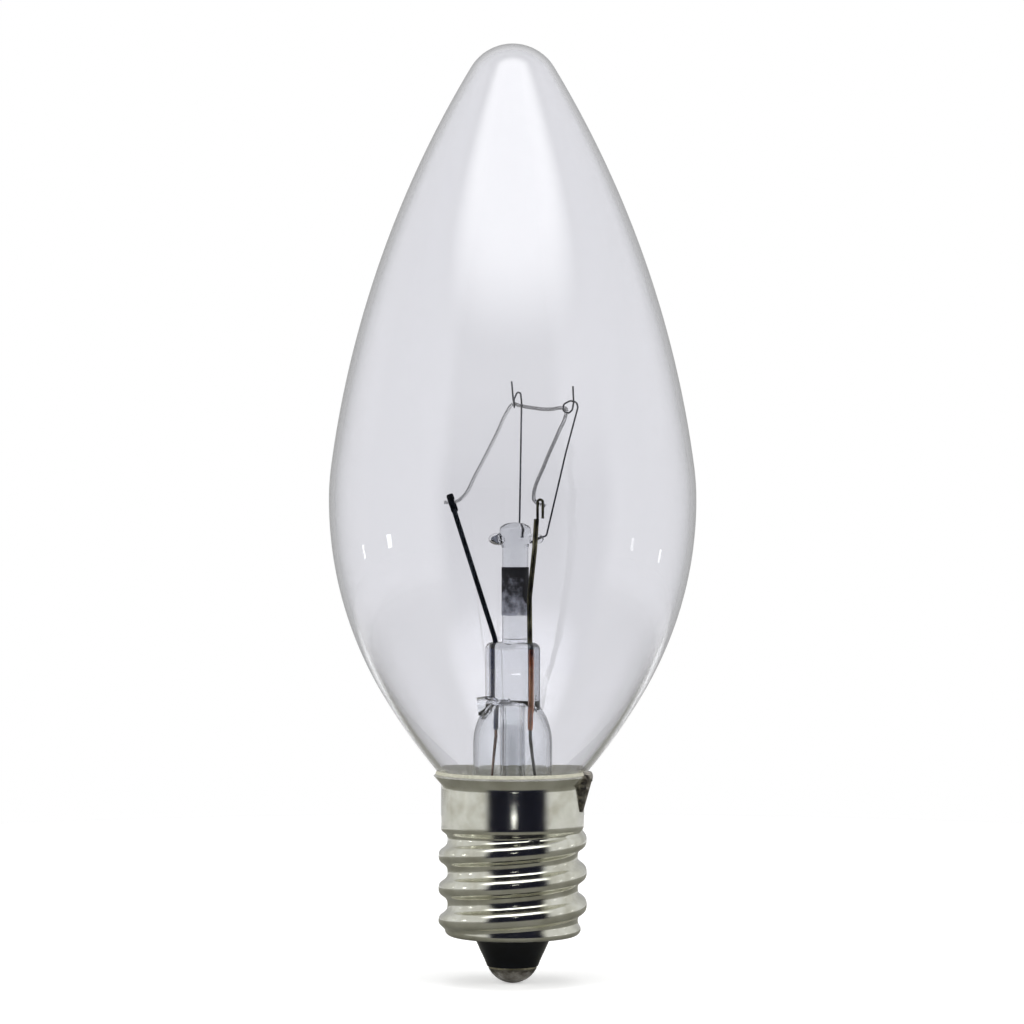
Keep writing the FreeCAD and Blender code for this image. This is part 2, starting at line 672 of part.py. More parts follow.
mouth = Part.makeCylinder(size("metal_mouth"), 3, Vector(0, 0, size("metal_low") - 1))
room = metal_form(size("metal_wall"), INNER_LAYERS)
screw_shell = metal_form(0, OUTER_LAYERS).cut([room, mouth])
formed("screw_shell", screw_shell)


def filled_skirt():
    """Everything inside the outer surface of the skirt and lip."""
    edge, flare, rim = lip_edge(0), flare_start(0), lip_edge(size("metal_wall"))
    return turned(polyline([(0, size("skirt_low")), (flare.x, size("skirt_low")),
                            (flare.x, flare.z), (edge.x, edge.z), (rim.x, rim.z), (0, rim.z),
                            (0, size("skirt_low"))]))


# Insulator: black glass cone in the mouth of the base, with a flange inside

turned_body("insulator", [
    ("eyelet_tube", "insulator_tip"), ("insulator_tip_radius", "insulator_tip"),
    ("insulator_tip_radius * 1.1", "insulator_tip + 0.5"),
    ("insulator_mouth_radius * 0.88", "insulator_tip + 1.2"),
    ("insulator_mouth_radius", "metal_low - 0.4"),
    ("insulator_mouth_radius", "metal_low + metal_wall"),
    ("insulator_flange_radius", "metal_low + metal_wall"),
    ("insulator_flange_radius", "insulator_top"), ("eyelet_tube", "insulator_top")])

# Contact eyelet: brass rivet through the insulator, with the centre lead in its bore

turned_body("contact_eyelet", [
    ("eyelet_bore", "insulator_tip - eyelet_thick"),
    ("eyelet_radius", "insulator_tip - eyelet_thick"), ("eyelet_radius", "insulator_tip"),
    ("eyelet_tube", "insulator_tip"), ("eyelet_tube", "insulator_top"),
    ("eyelet_tube * 1.6", "insulator_top"),
    ("eyelet_tube * 1.6", "insulator_top + eyelet_thick"),
    ("eyelet_bore", "insulator_top + eyelet_thick")])

# Solder on the centre contact: a flat dome, the lowest point of the bulb

DOME = "((sizes.solder_radius ^ 2 + sizes.solder_height ^ 2) / (2 * sizes.solder_height))"
center_solder = primitive(
    "Part::Sphere", "center_solder", Radius=DOME,
    Angle2=f"asin((sizes.solder_height - {DOME}) / {DOME})", Placement__Base__z=DOME)
center_solder.Angle1 = -90

# Leads below the press: thin wires to the centre contact and over the rim of the base


def outer_lead_center():
    start = seal_place(LEFT, size("seal_wire_low"))
    spots = [start, start + Vector(0, 0, -0.6), start + Vector(-0.35, 0, -4.0),
             Vector(-1.6, 0.4, size("pump_foot") + 0.6), Vector(0, 0, size("insulator_top") + 0.9),
             Vector(0, 0, size("solder_height"))]
    return round_wire(spots, size("tail_radius"), 1)


def side_spot(radius, height):
    """Place at the side solder, a distance from the axis and a height."""
    turn = math.radians(size("side_turn"))
    return Vector(radius * math.cos(turn), radius * math.sin(turn), height)


def outer_lead_side():
    start = seal_place(RIGHT, size("seal_wire_low"))
    gap = size("neck_radius") + 0.24
    neck_top = lower_centres()[4].z
    turn_in, lip = size("seal_height") - 1.2, lip_edge(0)
    edge, flare = lip_edge(size("metal_wall")), flare_start(size("metal_wall"))
    spots = [start, start + Vector(0, 0, -0.6), start + Vector(0.4, -0.05, -4.0),
             Vector(2.3, -0.75, turn_in), side_spot(gap, turn_in),
             side_spot(gap, neck_top), side_spot(flare.x - 0.25, flare.z - 0.16),
             side_spot(edge.x - 0.17, edge.z), side_spot(edge.x + 0.08, edge.z + 0.26),
             side_spot(lip.x + 0.24, edge.z + 0.22), side_spot(lip.x + 0.24, lip.z - 0.3)]
    return round_wire(spots, size("tail_radius"), 0.15)


formed("outer_lead_center", outer_lead_center())
side_lead = formed("outer_lead_side", outer_lead_side())

# Basing cement: fills the gap between the neck and the skirt up to the lip


def base_cement():
    low, high = size("cement_low"), size("cement_high")
    inside = size("neck_radius") - 0.5
    edge, flare = lip_edge(size("metal_wall")), flare_start(size("metal_wall"))
    ring = turned(polyline([
        (inside, low), (flare.x, low), (flare.x, flare.z), (edge.x, edge.z),
        (edge.x, edge.z + 0.06), (edge.x - 0.08, high), (inside, high), (inside, low)]))
    return ring.cut([filled, side_lead.Shape])


cement = formed("base_cement", base_cement())

# Solder that joins the side lead to the skirt: a tapered drop lying on the metal


def side_solder():
    low, high = size("side_solder_low"), size("side_solder_high")
    wide = size("side_solder_radius")
    lean, skirt = size("side_solder_lean"), size("skirt_radius")
    drop = Part.makeCone(wide * 0.25, wide, high - low, side_spot(skirt, low),
                         side_spot(lean, high - low))
    cap = Part.makeSphere(wide, side_spot(skirt + lean, high - 0.05))
    cap = cap.common(Part.makeCylinder(size("glass_radius"), high + 0.35))
    kept = drop.fuse(cap).cut([filled_skirt(), filled, cement.Shape, side_lead.Shape])
    return max(kept.Solids, key=lambda solid: solid.Volume)


formed("side_solder", side_solder())

# The stem comes last, since every wire and tube in it takes its place from the glass


def stem_flare():
    shell = stem_outside().fuse([press(), pump_boss(0.8, size("flare_radius") - 0.35)])
    neck = Part.makeCylinder(size("rod_radius"), size("rod_neck") + 0.6,
                             Vector(size("rod_offset"), 0, size("press_top") - 0.6))
    bore_top = Part.makeCylinder(size("pump_bore"), 0.6, Vector(0, 0, size("flare_top") - 0.4))
    glass = shell.fuse(neck).cut([stem_inside(), bore_top, pump_boss(0.42, 6)])
    seats = [straight_wire(seal_place(side, size("seal_wire_low")),
                           seal_place(side, size("press_top") + 0.1), size("seal_wire_radius"))
             for side in (LEFT, RIGHT)]
    return glass.cut(seats).removeSplitter()


formed("stem_flare", stem_flare())

# Check and write the pieces

PIECES = [
    "glass_envelope", "stem_flare", "exhaust_tube", "arbor_rod", "getter_band",
    "support_wire_left", "support_wire_right", "filament", "inner_lead_left",
    "inner_lead_right", "seal_wire_left", "seal_wire_right", "outer_lead_center",
    "outer_lead_side", "base_cement", "screw_shell", "insulator", "contact_eyelet",
    "center_solder", "side_solder",
]

doc.recompute()
for item in doc.Objects:
    if {"Invalid", "Error"} & set(item.State):
        raise RuntimeError(f"{item.Name} was not computed: {item.State}")
os.makedirs("parts", exist_ok=True)
for name in PIECES:
    piece = doc.getObject(name)
    piece.Label = name
    if piece.Shape.isNull() or not piece.Shape.isValid() or len(piece.Shape.Solids) != 1:
        raise RuntimeError(f"{name} is not one valid solid")
    piece.Shape.exportStep(f"parts/{name}.step")
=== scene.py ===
import math

import bpy
from mathutils import Matrix, Vector


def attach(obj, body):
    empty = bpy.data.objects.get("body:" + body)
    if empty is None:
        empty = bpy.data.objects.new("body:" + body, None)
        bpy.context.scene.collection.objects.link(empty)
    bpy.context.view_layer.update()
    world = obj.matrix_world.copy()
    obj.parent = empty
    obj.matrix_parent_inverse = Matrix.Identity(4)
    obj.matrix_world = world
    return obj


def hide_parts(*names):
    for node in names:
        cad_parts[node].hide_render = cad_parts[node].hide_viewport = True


# Clear candle bulb with a small screw base, standing tip up on its centre contact.
# The frame is in metres, Z up along the axis; the camera looks along +Y. The sections follow
# the order in which such a bulb is put together, from the stem outwards to the base.

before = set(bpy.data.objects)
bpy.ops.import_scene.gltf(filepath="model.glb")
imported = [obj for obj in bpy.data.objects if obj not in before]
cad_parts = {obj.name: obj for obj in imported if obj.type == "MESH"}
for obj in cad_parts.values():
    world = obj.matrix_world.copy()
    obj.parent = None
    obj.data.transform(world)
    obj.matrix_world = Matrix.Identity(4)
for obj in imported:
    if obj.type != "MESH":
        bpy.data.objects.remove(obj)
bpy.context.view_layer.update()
MM = 0.001

# Stem glass: soft lead-free glass of the flared tube, exhaust tube, press and rod.
# Flame-worked, so its surface is fire-bright, slightly wavy, and a trace grey in the thick.


def linear(colour):
    """Linear RGBA of an sRGB hex colour."""
    shares = [int(colour[place:place + 2], 16) / 255 for place in (1, 3, 5)]
    curved = [s / 12.92 if s <= 0.04045 else ((s + 0.055) / 1.055) ** 2.4 for s in shares]
    return (*curved, 1.0)


def add_node(tree, kind, settings=None, **links):
    """One node with its settings; its inputs, by name or number, take values or sockets."""
    node = tree.nodes.new(kind)
    for name, value in (settings or {}).items():
        setattr(node, name, value)
    for name, value in links.items():
        socket = node.inputs[int(name[1:]) if name[1:].isdigit() else name.replace("_", " ")]
        if isinstance(value, bpy.types.NodeSocket):
            tree.links.new(value, socket)
        else:
            socket.default_value = value
    return node


def new_material(name, **surface):
    """Material with one Principled surface; its tree and shader come back for the patterns."""
    material = bpy.data.materials.new(name)
    material.use_nodes = True
    shader = material.node_tree.nodes["Principled BSDF"]
    for socket, value in surface.items():
        shader.inputs[socket.replace("_", " ")].default_value = value
    return material, material.node_tree, shader


def add_bump(tree, shader, height, distance, strength):
    """Height pattern pressed into the surface; the distance is in millimetres."""
    bump = add_node(tree, "ShaderNodeBump", Height=height, Distance=distance * MM,
                    Strength=strength)
    tree.links.new(bump.outputs["Normal"], shader.inputs["Normal"])


def add_absorption(tree, colour, density):
    """Colour that the glass takes on in the thick; density per metre."""
    absorption = add_node(tree, "ShaderNodeVolumeAbsorption", Color=linear(colour),
                          Density=density)
    tree.links.new(absorption.outputs["Volume"], tree.nodes["Material Output"].inputs["Volume"])


def place_in_mm(tree):
    """Object coordinates in millimetres."""
    place = add_node(tree, "ShaderNodeTexCoord")
    return add_node(tree, "ShaderNodeVectorMath", {"operation": "SCALE"},
                    _0=place.outputs["Object"], Scale=1 / MM).outputs["Vector"]


def pattern(tree, scale_mm, detail=3.0, stretch=(1, 1, 1)):
    """Noise with spots of about the given size in millimetres; the stretch draws them out."""
    mapped = add_node(tree, "ShaderNodeMapping", Vector=place_in_mm(tree), Scale=stretch)
    noise = add_node(tree, "ShaderNodeTexNoise", Vector=mapped.outputs["Vector"],
                     Scale=1 / scale_mm, Detail=detail)
    return noise.outputs["Fac"]


def add_ramp(tree, share, *stops):
    """Colour ramp over a share; each stop is a place and a hex colour."""
    ramp = add_node(tree, "ShaderNodeValToRGB", Fac=share)
    elements = ramp.color_ramp.elements
    while len(elements) < len(stops):
        elements.new(1.0)
    for element, (spot, colour) in zip(elements, stops):
        element.position = spot
        element.color = linear(colour)
    return ramp.outputs["Color"]


def add_range(tree, share, low, high):
    """Share between 0 and 1 spread over a range of values."""
    return add_node(tree, "ShaderNodeMapRange", Value=share, To_Min=low,
                    To_Max=high).outputs["Result"]


def dress(name, material):
    """Give a node of the frame its finish."""
    node = bpy.data.objects[name]
    for slot in node.material_slots:
        slot.material = material


stem_glass, tree, shader = new_material(
    "flame_worked_stem_glass", Base_Color=linear("#FAFBFC"), Roughness=0.0, IOR=1.52,
    Transmission_Weight=1.0)
add_absorption(tree, "#8C93A6", 120)
add_bump(tree, shader, pattern(tree, 2.2, detail=1.0, stretch=(1, 1, 0.4)), 0.05, 0.35)
for name in ("stem_flare", "exhaust_tube", "arbor_rod"):
    dress(name, stem_glass)

# Getter band: grey coat of getter paste brushed round the middle of the glass rod.
# Dried and fired, so it is matt and mottled; its darkening towards the upper edge is a painted
# reflection.


def height_share(tree, low, high):
    """0 below the low place on the axis and 1 above the high one, in millimetres."""
    height = add_node(tree, "ShaderNodeSeparateXYZ", Vector=place_in_mm(tree)).outputs["Z"]
    return add_node(tree, "ShaderNodeMapRange", Value=height, From_Min=low,
                    From_Max=high).outputs["Result"]


def summed(tree, first, second, share):
    """First value plus a share of the second."""
    return add_node(tree, "ShaderNodeMath", {"operation": "MULTIPLY_ADD"}, _0=second, _1=share,
                    _2=first).outputs[0]


def spot_share(tree, centre, reach):
    """1 inside an ellipsoid round a place in millimetres, fading to 0 just outside it."""
    away = add_node(tree, "ShaderNodeVectorMath", {"operation": "SUBTRACT"},
                    _0=place_in_mm(tree), _1=centre).outputs[0]
    shrunk = add_node(tree, "ShaderNodeVectorMath", {"operation": "DIVIDE"}, _0=away,
                      _1=reach).outputs[0]
    distance = add_node(tree, "ShaderNodeVectorMath", {"operation": "LENGTH"},
                        _0=shrunk).outputs["Value"]
    return add_node(tree, "ShaderNodeMapRange", Value=distance, From_Min=1.08,
                    From_Max=0.95).outputs["Result"]


def mix_colour(tree, share, first, second):
    """Colour that goes from the first to the second with the share."""
    return add_node(tree, "ShaderNodeMix", {"data_type": "RGBA"}, Factor=share, _6=first,
                    _7=second).outputs[2]


getter_paste, tree, shader = new_material("fired_getter_paste_and_painted_reflection", Roughness=0.7)
mottle = pattern(tree, 0.7, detail=6.0)
# Painted reflection: the coat is painted darker up the band, with the real mottle laid over it
mottle_and_painted_reflection = summed(tree, height_share(tree, 27.6, 34.6), mottle, 0.9)
coat = add_ramp(tree, mottle_and_painted_reflection, (0.45, "#D6D8E0"), (0.6, "#A0A2AE"), (0.8, "#666871"),
                (0.94, "#242428"), (1.0, "#0E0E10"))
# A near-black spot at the right edge of the band, beside the right lead
dark_spot = spot_share(tree, (1.24, -0.3, 30.65), (0.55, 1.2, 1.05))
tree.links.new(mix_colour(tree, dark_spot, coat, linear("#08080A")), shader.inputs["Base Color"])
add_bump(tree, shader, pattern(tree, 0.12), 0.02, 0.6)
dress("getter_band", getter_paste)

# Seal wires: iron-nickel core with a copper skin, drawn thin and sealed into the press.
# The heat has oxidised the copper to brown, with clean copper where the glass covers it.


def wire_material(name, *stops):
    """Drawn wire, its oxide in patches along the length; stops of the oxide's colour."""
    material, tree, shader = new_material(name, Metallic=1.0)
    oxide = pattern(tree, 0.6, stretch=(1, 1, 0.4))
    tree.links.new(add_ramp(tree, oxide, *stops), shader.inputs["Base Color"])
    tree.links.new(add_range(tree, oxide, 0.28, 0.48), shader.inputs["Roughness"])
    return material


dress("seal_wire_right", wire_material("oxidised_copper_clad_wire", (0.3, "#6E3B24"),
                                       (0.5, "#C4703F"), (0.75, "#EBA574")))
dress("seal_wire_left", wire_material("blued_copper_clad_wire", (0.35, "#1E2746"),
                                      (0.55, "#39446B"), (0.7, "#6D6668")))

# Leads above the press: drawn nickel wire, flattened at the end over the filament.
# Heated when the bulb was sealed, so the nickel is charcoal with an olive tint.

dress("inner_lead_left", wire_material("charcoal_nickel_wire", (0.35, "#1B1D20"),
                                       (0.6, "#34383D"), (0.8, "#5A6068")))
dress("inner_lead_right", wire_material("olive_nickel_wire", (0.35, "#3B3A30"),
                                        (0.6, "#6A6750"), (0.8, "#98947A")))

# Outer leads: soft wires welded under the seal wires, one browned copper and one grey nickel.
# In the flare a crumpled oxide makes them look thicker; below it they run out through the base.

LEAD_OXIDE, OXIDE_LOW, OXIDE_FADE = 0.05, 16.8, 0.6
WELD_DISTANCE, LEAD_SMOOTH = 1e-7, 40


def stand_alone(piece):
    """Link a new object and make it the only one selected."""
    bpy.context.collection.objects.link(piece)
    bpy.ops.object.select_all(action="DESELECT")
    bpy.context.view_layer.objects.active = piece
    piece.select_set(True)


def oxidised_lead(name, material):
    """The wire again, thicker by its oxide where it stands free in the flare."""
    bare = bpy.data.objects[name]
    lead = bpy.data.objects.new("oxidised_" + name, bare.data.copy())
    lead.matrix_world = bare.matrix_world
    stand_alone(lead)
    bpy.ops.object.transform_apply(location=True, rotation=True, scale=True)
    bpy.ops.object.mode_set(mode="EDIT")
    bpy.ops.mesh.select_all(action="SELECT")
    bpy.ops.mesh.remove_doubles(threshold=WELD_DISTANCE)
    bpy.ops.object.mode_set(mode="OBJECT")
    free = lead.vertex_groups.new(name="free")
    for vertex in lead.data.vertices:
        share = (vertex.co.z / MM - OXIDE_LOW) / OXIDE_FADE
        free.add([vertex.index], min(1, max(0, share)), "REPLACE")
    oxide = lead.modifiers.new("oxide", "DISPLACE")
    oxide.vertex_group, oxide.mid_level, oxide.strength = "free", 0, LEAD_OXIDE * MM
    bpy.ops.object.modifier_apply(modifier="oxide")
    lead.data.shade_smooth()
    bpy.ops.object.shade_smooth_by_angle(angle=math.radians(LEAD_SMOOTH))
    lead.data.materials.clear()
    lead.data.materials.append(material)
    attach(lead, "root")
    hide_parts(name)


oxidised_lead("outer_lead_center", wire_material("browned_copper_wire", (0.3, "#33241F"),
                                                 (0.5, "#7A5140"), (0.75, "#B58A70")))
oxidised_lead("outer_lead_side", wire_material("grey_nickel_wire", (0.35, "#2E2E2F"),
                                               (0.7, "#6A6A68")))

# Support wires: drawn molybdenum, thin and springy, melted into the button of the rod.
# Each ends in an open hook round the filament; the metal is dark grey from the heat.

molybdenum = wire_material("drawn_molybdenum_wire", (0.35, "#25262A"), (0.7, "#50525A"))
for name in ("support_wire_left", "support_wire_right"):
    dress(name, molybdenum)

# Filament: tungsten wire 0.04 mm thick, wound to a coil 0.3 mm across, 9 turns to a millimetre.
# It hangs from clamp to hook to hook to clamp as an M; dark grey, drawn and fired.

# Outer radius of the coil, radius of its wire and pitch, and the facets of wire, turn and line
COIL_RADIUS, COIL_WIRE, COIL_PITCH = 0.15, 0.02, 0.113
WIRE_SIDES, TURN_STEPS, LINE_STEPS = 6, 12, 16
FILAMENT_LINE = [
    (-5.4, 1.6, 37.55), (-4.6, 1.6, 37.6), (-4.0, 1.6, 37.9), (-2.89, 2.05, 39.8),
    (-1.29, 2.7, 42.9), (-0.35, 3.05, 44.85), (0.05, 3.12, 45.32), (0.5, 2.9, 45.2),
    (1.64, 2.3, 44.98), (2.9, 1.6, 44.85), (3.9, 1.05, 44.95), (4.2, 0.8, 44.85),
    (4.15, 0.6, 44.3), (3.6, -0.3, 43.03), (2.5, -1.6, 40.53), (1.62, -2.85, 38.0),
    (1.75, -3.1, 37.6), (2.55, -3.1, 37.25)]

bpy.ops.curve.primitive_bezier_curve_add()
coil_line = bpy.context.object
coil_line.data.splines.clear()
spline = coil_line.data.splines.new("BEZIER")
spline.bezier_points.add(len(FILAMENT_LINE) - 1)
for point, spot in zip(spline.bezier_points, FILAMENT_LINE):
    point.co = Vector(spot) * MM
    point.handle_left_type = point.handle_right_type = "AUTO"
coil_line.data.resolution_u = LINE_STEPS
coil_line.data.update_tag()
bpy.context.view_layer.update()
line_mesh = bpy.data.meshes.new_from_object(coil_line.evaluated_get(
    bpy.context.evaluated_depsgraph_get()))
coil_length = sum((line_mesh.vertices[a].co - line_mesh.vertices[b].co).length
                  for a, b in (edge.vertices for edge in line_mesh.edges))
bpy.data.meshes.remove(line_mesh)

bpy.ops.mesh.primitive_circle_add(vertices=WIRE_SIDES, radius=COIL_WIRE * MM,
                                  location=(0, 0, (COIL_RADIUS - COIL_WIRE) * MM),
                                  rotation=(math.pi / 2, 0, 0))
coil = bpy.context.object
coil.name = "filament_coil"
bpy.ops.object.transform_apply(location=True, rotation=True, scale=True)
winding = coil.modifiers.new("winding", "SCREW")
winding.axis = "X"
winding.steps = winding.render_steps = TURN_STEPS
winding.screw_offset = COIL_PITCH * MM
winding.iterations = int(coil_length / (COIL_PITCH * MM))
hanging = coil.modifiers.new("hanging", "CURVE")
hanging.object = coil_line
hanging.deform_axis = "POS_X"
for modifier in ("winding", "hanging"):
    bpy.ops.object.modifier_apply(modifier=modifier)
bpy.ops.object.select_all(action="DESELECT")
bpy.data.objects.remove(coil_line)
coil.data.shade_smooth()

tungsten, tree, shader = new_material("drawn_tungsten_wire", Metallic=1.0)
fired = pattern(tree, 0.3)
tree.links.new(add_ramp(tree, fired, (0.35, "#1E1E21"), (0.7, "#444449")),
               shader.inputs["Base Color"])
tree.links.new(add_range(tree, fired, 0.3, 0.45), shader.inputs["Roughness"])
coil.data.materials.clear()
coil.data.materials.append(tungsten)
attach(coil, "root")
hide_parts("filament")

# Glass envelope: soda-lime tubing blown into a candle flame and drawn to a point.
# Clear, fire-polished and 0.45 mm thick up to the tip; greyish where seen edge on.

# Arcs of each side from the tip down: centre, start and end as radius and height, and steps
OUTER_ARCS = [
    ((0, 69.59), (0, 73.4), (3.265, 71.554), 12),
    ((-66.3, 29.701), (3.265, 71.554), (14.172, 40.433), 36),
    ((-5.946, 37.75), (14.172, 40.433), (14.35, 37.75), 6),
    ((-15.214, 37.75), (14.35, 37.75), (10.207, 22.657), 24),
    ((-30.86, 47.039), (10.207, 22.657), (4.756, 15.219), 14),
    ((5.8, 14.287), (4.756, 15.219), (4.4, 14.287), 5)]
INNER_ARCS = [
    ((0, 69.59), (0, 72.95), (2.879, 71.322), 12),
    ((-66.3, 29.701), (2.879, 71.322), (13.726, 40.373), 36),
    ((-5.946, 37.75), (13.726, 40.373), (13.9, 37.75), 6),
    ((-15.214, 37.75), (13.9, 37.75), (9.82, 22.887), 24),
    ((-30.86, 47.039), (9.82, 22.887), (4.42, 15.519), 14),
    ((5.8, 14.287), (4.42, 15.519), (3.95, 14.287), 5)]
NECK_LOW, GLASS_STEPS, GLASS_SMOOTH = 10.9, 160, 50


def arc_places(centre, start, end, steps):
    """Places along an arc, without its end; it goes the short way round."""
    middle, first, last = Vector(centre), Vector(start), Vector(end)
    radius, turn = (first - middle).length, (last - middle).angle_signed(first - middle)
    places = []
    for step in range(steps):
        arm = Matrix.Rotation(turn * step / steps, 2) @ (first - middle)
        places.append(tuple(middle + arm.normalized() * radius))
    return places


def glass_side(arcs):
    """Places of one side of the glass from the tip to the lower end of the neck."""
    places = [place for arc in arcs for place in arc_places(*arc)]
    neck = arcs[-1][2]
    return places + [neck, (neck[0], NECK_LOW)]


def spun(name, outline, steps, start=0, end=360, closed=True):
    """Outline of radius and height in millimetres, spun round the axis between two angles."""
    mesh = bpy.data.meshes.new(name)
    count = len(outline)
    turn = Matrix.Rotation(math.radians(start), 3, "Z")
    edges = [(place, (place + 1) % count) for place in range(count)]
    mesh.from_pydata([turn @ Vector((radius, 0, height)) * MM for radius, height in outline],
                     edges if closed else edges[:-1], [])
    piece = bpy.data.objects.new(name, mesh)
    stand_alone(piece)
    bpy.ops.object.mode_set(mode="EDIT")
    bpy.ops.mesh.select_all(action="SELECT")
    bpy.ops.mesh.spin(steps=steps, angle=math.radians(start - end), center=(0, 0, 0),
                      axis=(0, 0, 1))
    bpy.ops.mesh.select_all(action="SELECT")
    bpy.ops.mesh.remove_doubles(threshold=WELD_DISTANCE)
    bpy.ops.mesh.normals_make_consistent(inside=False)
    bpy.ops.object.mode_set(mode="OBJECT")
    return piece


glass = spun("blown_glass_envelope", glass_side(OUTER_ARCS) + glass_side(INNER_ARCS)[::-1],
             GLASS_STEPS)
glass.data.shade_smooth()
bpy.ops.object.shade_smooth_by_angle(angle=math.radians(GLASS_SMOOTH))
# Clear glass lets the light through to what it holds and throws no shadow worth the name
glass.visible_shadow = glass.visible_diffuse = False

blown_glass, tree, shader = new_material(
    "blown_soda_lime_glass", Base_Color=linear("#F2F2F5"), Roughness=0.0, IOR=1.52,
    Transmission_Weight=1.0)
add_absorption(tree, "#9A9EA6", 110)
add_bump(tree, shader, pattern(tree, 14.0, detail=0.0, stretch=(1, 1, 0.3)), 0.03, 0.2)
glass.data.materials.append(blown_glass)
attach(glass, "root")
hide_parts("glass_envelope")

# Basing cement: phenolic resin with marble flour, pressed in wet and baked.
# It fills the rim between glass and metal; pale greenish beige, matt and grainy.

cement, tree, shader = new_material("baked_basing_cement", Roughness=0.85)
grains = pattern(tree, 0.18, detail=5.0)
tree.links.new(add_ramp(tree, grains, (0.3, "#B7B5A2"), (0.55, "#CDCBBA"), (0.75, "#DEDCCC")),
               shader.inputs["Base Color"])
add_bump(tree, shader, grains, 0.06, 0.7)
dress("base_cement", cement)

# Screw base: brass sheet 0.2 mm thick, drawn to a cup, its round thread rolled, nickel plated.
# The thread rises 2.54 mm a turn, right-handed, between a foot ring and a plain skirt with a lip.

METAL_WALL = 0.2
FOOT_LOW, FOOT_RADIUS, FOOT_CORNER, FOOT_MOUTH = 3.73, 5.32, 0.5, 2.98
THREAD_CREST, THREAD_DEPTH, THREAD_PITCH, THREAD_PHASE = 5.8, 0.7, 2.54, 8.67
# The thread grows and dies away between two heights each; its fullness widens crests and
# grooves and makes the flanks between them steeper
THREAD_GROWS, THREAD_DIES, THREAD_FULLNESS = (4.0, 4.8), (11.5, 12.3), 2.0
SKIRT_LOW, SKIRT_RADIUS, SKIRT_LEVELS = 12.3, 5.59, (12.5, 13.3, 14.1)
LIP_START, LIP_HEIGHT, LIP_RADIUS = 15.5, 16.2, 6.18
# The bend from skirt to lip: a level just under it, and the way out and up to its end
BEND_UNDER, BEND_OUT, BEND_UP = 0.3, 0.06, 0.1
ROUND_STEPS, CORNER_STEPS, LEVEL_STEP, METAL_SMOOTH = 144, 6, 0.12, 40


def eased(height, low, high):
    """Smooth share from 0 at the low place to 1 at the high one."""
    way = min(1.0, max(0.0, (height - low) / (high - low)))
    return way * way * (3 - 2 * way)


def wall_outline(inset):
    """Radius and height of the wall's surface moved in by an amount, from the mouth to the lip."""
    corner = FOOT_CORNER - inset
    outline = [(FOOT_MOUTH, FOOT_LOW + inset)]
    for step in range(CORNER_STEPS + 1):
        turn = math.pi / 2 * step / CORNER_STEPS
        outline.append((FOOT_RADIUS - inset - corner + corner * math.sin(turn),
                        FOOT_LOW + inset + corner - corner * math.cos(turn)))
    middle = THREAD_CREST - THREAD_DEPTH / 2
    levels = round((SKIRT_LOW - FOOT_LOW - FOOT_CORNER) / LEVEL_STEP)
    for level in range(1, levels + 1):
        height = FOOT_LOW + FOOT_CORNER + (SKIRT_LOW - FOOT_LOW - FOOT_CORNER) * level / levels
        radius = (FOOT_RADIUS + (middle - FOOT_RADIUS) * eased(height, *THREAD_GROWS)
                  + (SKIRT_RADIUS - middle) * eased(height, *THREAD_DIES))
        outline.append((radius - inset, height))
    slope = Vector((LIP_RADIUS - SKIRT_RADIUS, LIP_HEIGHT - LIP_START)).normalized()
    edge = (LIP_RADIUS - inset * slope.y, LIP_HEIGHT + inset * slope.x)
    start = edge[1] - (edge[0] - SKIRT_RADIUS + inset) * slope.y / slope.x
    for height in (*SKIRT_LEVELS, start - BEND_UNDER, start):
        outline.append((SKIRT_RADIUS - inset, height))
    return outline + [(SKIRT_RADIUS - inset + BEND_OUT, start + BEND_UP), edge]


shell = spun("rolled_screw_shell", wall_outline(0) + wall_outline(METAL_WALL)[::-1], ROUND_STEPS)
for vertex in shell.data.vertices:
    height = vertex.co.z / MM
    push = (THREAD_DEPTH / 2 * eased(height, *THREAD_GROWS)
            * (1 - eased(height, *THREAD_DIES)) * MM)
    around = math.atan2(vertex.co.y, vertex.co.x)
    wave = math.cos(2 * math.pi * (height - THREAD_PHASE) / THREAD_PITCH - around)
    wave *= math.sqrt((1 + THREAD_FULLNESS) / (1 + THREAD_FULLNESS * wave ** 2))
    vertex.co += Vector((math.cos(around), math.sin(around), 0)) * push * wave
shell.data.shade_smooth()
bpy.ops.object.shade_smooth_by_angle(angle=math.radians(METAL_SMOOTH))

nickel_plate, tree, shader = new_material("bright_nickel_plate", Metallic=1.0)
wear = pattern(tree, 1.6, detail=5.0)
tree.links.new(add_ramp(tree, wear, (0.3, "#B8B7A9"), (0.55, "#CCCCC1"), (0.8, "#DADAD2")),
               shader.inputs["Base Color"])
tree.links.new(add_range(tree, pattern(tree, 0.5, detail=4.0), 0.1, 0.22),
               shader.inputs["Roughness"])
add_bump(tree, shader, pattern(tree, 1.2, detail=3.0, stretch=(1, 1, 0.5)), 0.02, 0.3)
shell.data.materials.append(nickel_plate)
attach(shell, "root")
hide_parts("screw_shell")

# Insulator: black glass pressed hot into the mouth of the base, so it is glossy with soft edges.
# Contact eyelet: a brass rivet through it, tinned by the solder.

black_glass, tree, shader = new_material("pressed_black_glass", IOR=1.52,
                                         Specular_IOR_Level=0.3)
swirl = pattern(tree, 1.5, stretch=(1, 1, 2))
tree.links.new(add_ramp(tree, swirl, (0.3, "#040507"), (0.7, "#0A0D12")),
               shader.inputs["Base Color"])
tree.links.new(add_range(tree, swirl, 0.06, 0.16), shader.inputs["Roughness"])
add_bump(tree, shader, pattern(tree, 0.8), 0.03, 0.3)
dress("insulator", black_glass)

brass, tree, shader = new_material("tinned_brass", Metallic=1.0)
dull = pattern(tree, 0.4)
tree.links.new(add_ramp(tree, dull, (0.3, "#7C7662"), (0.7, "#B4AF9A")),
               shader.inputs["Base Color"])
tree.links.new(add_range(tree, dull, 0.3, 0.5), shader.inputs["Roughness"])
dress("contact_eyelet", brass)

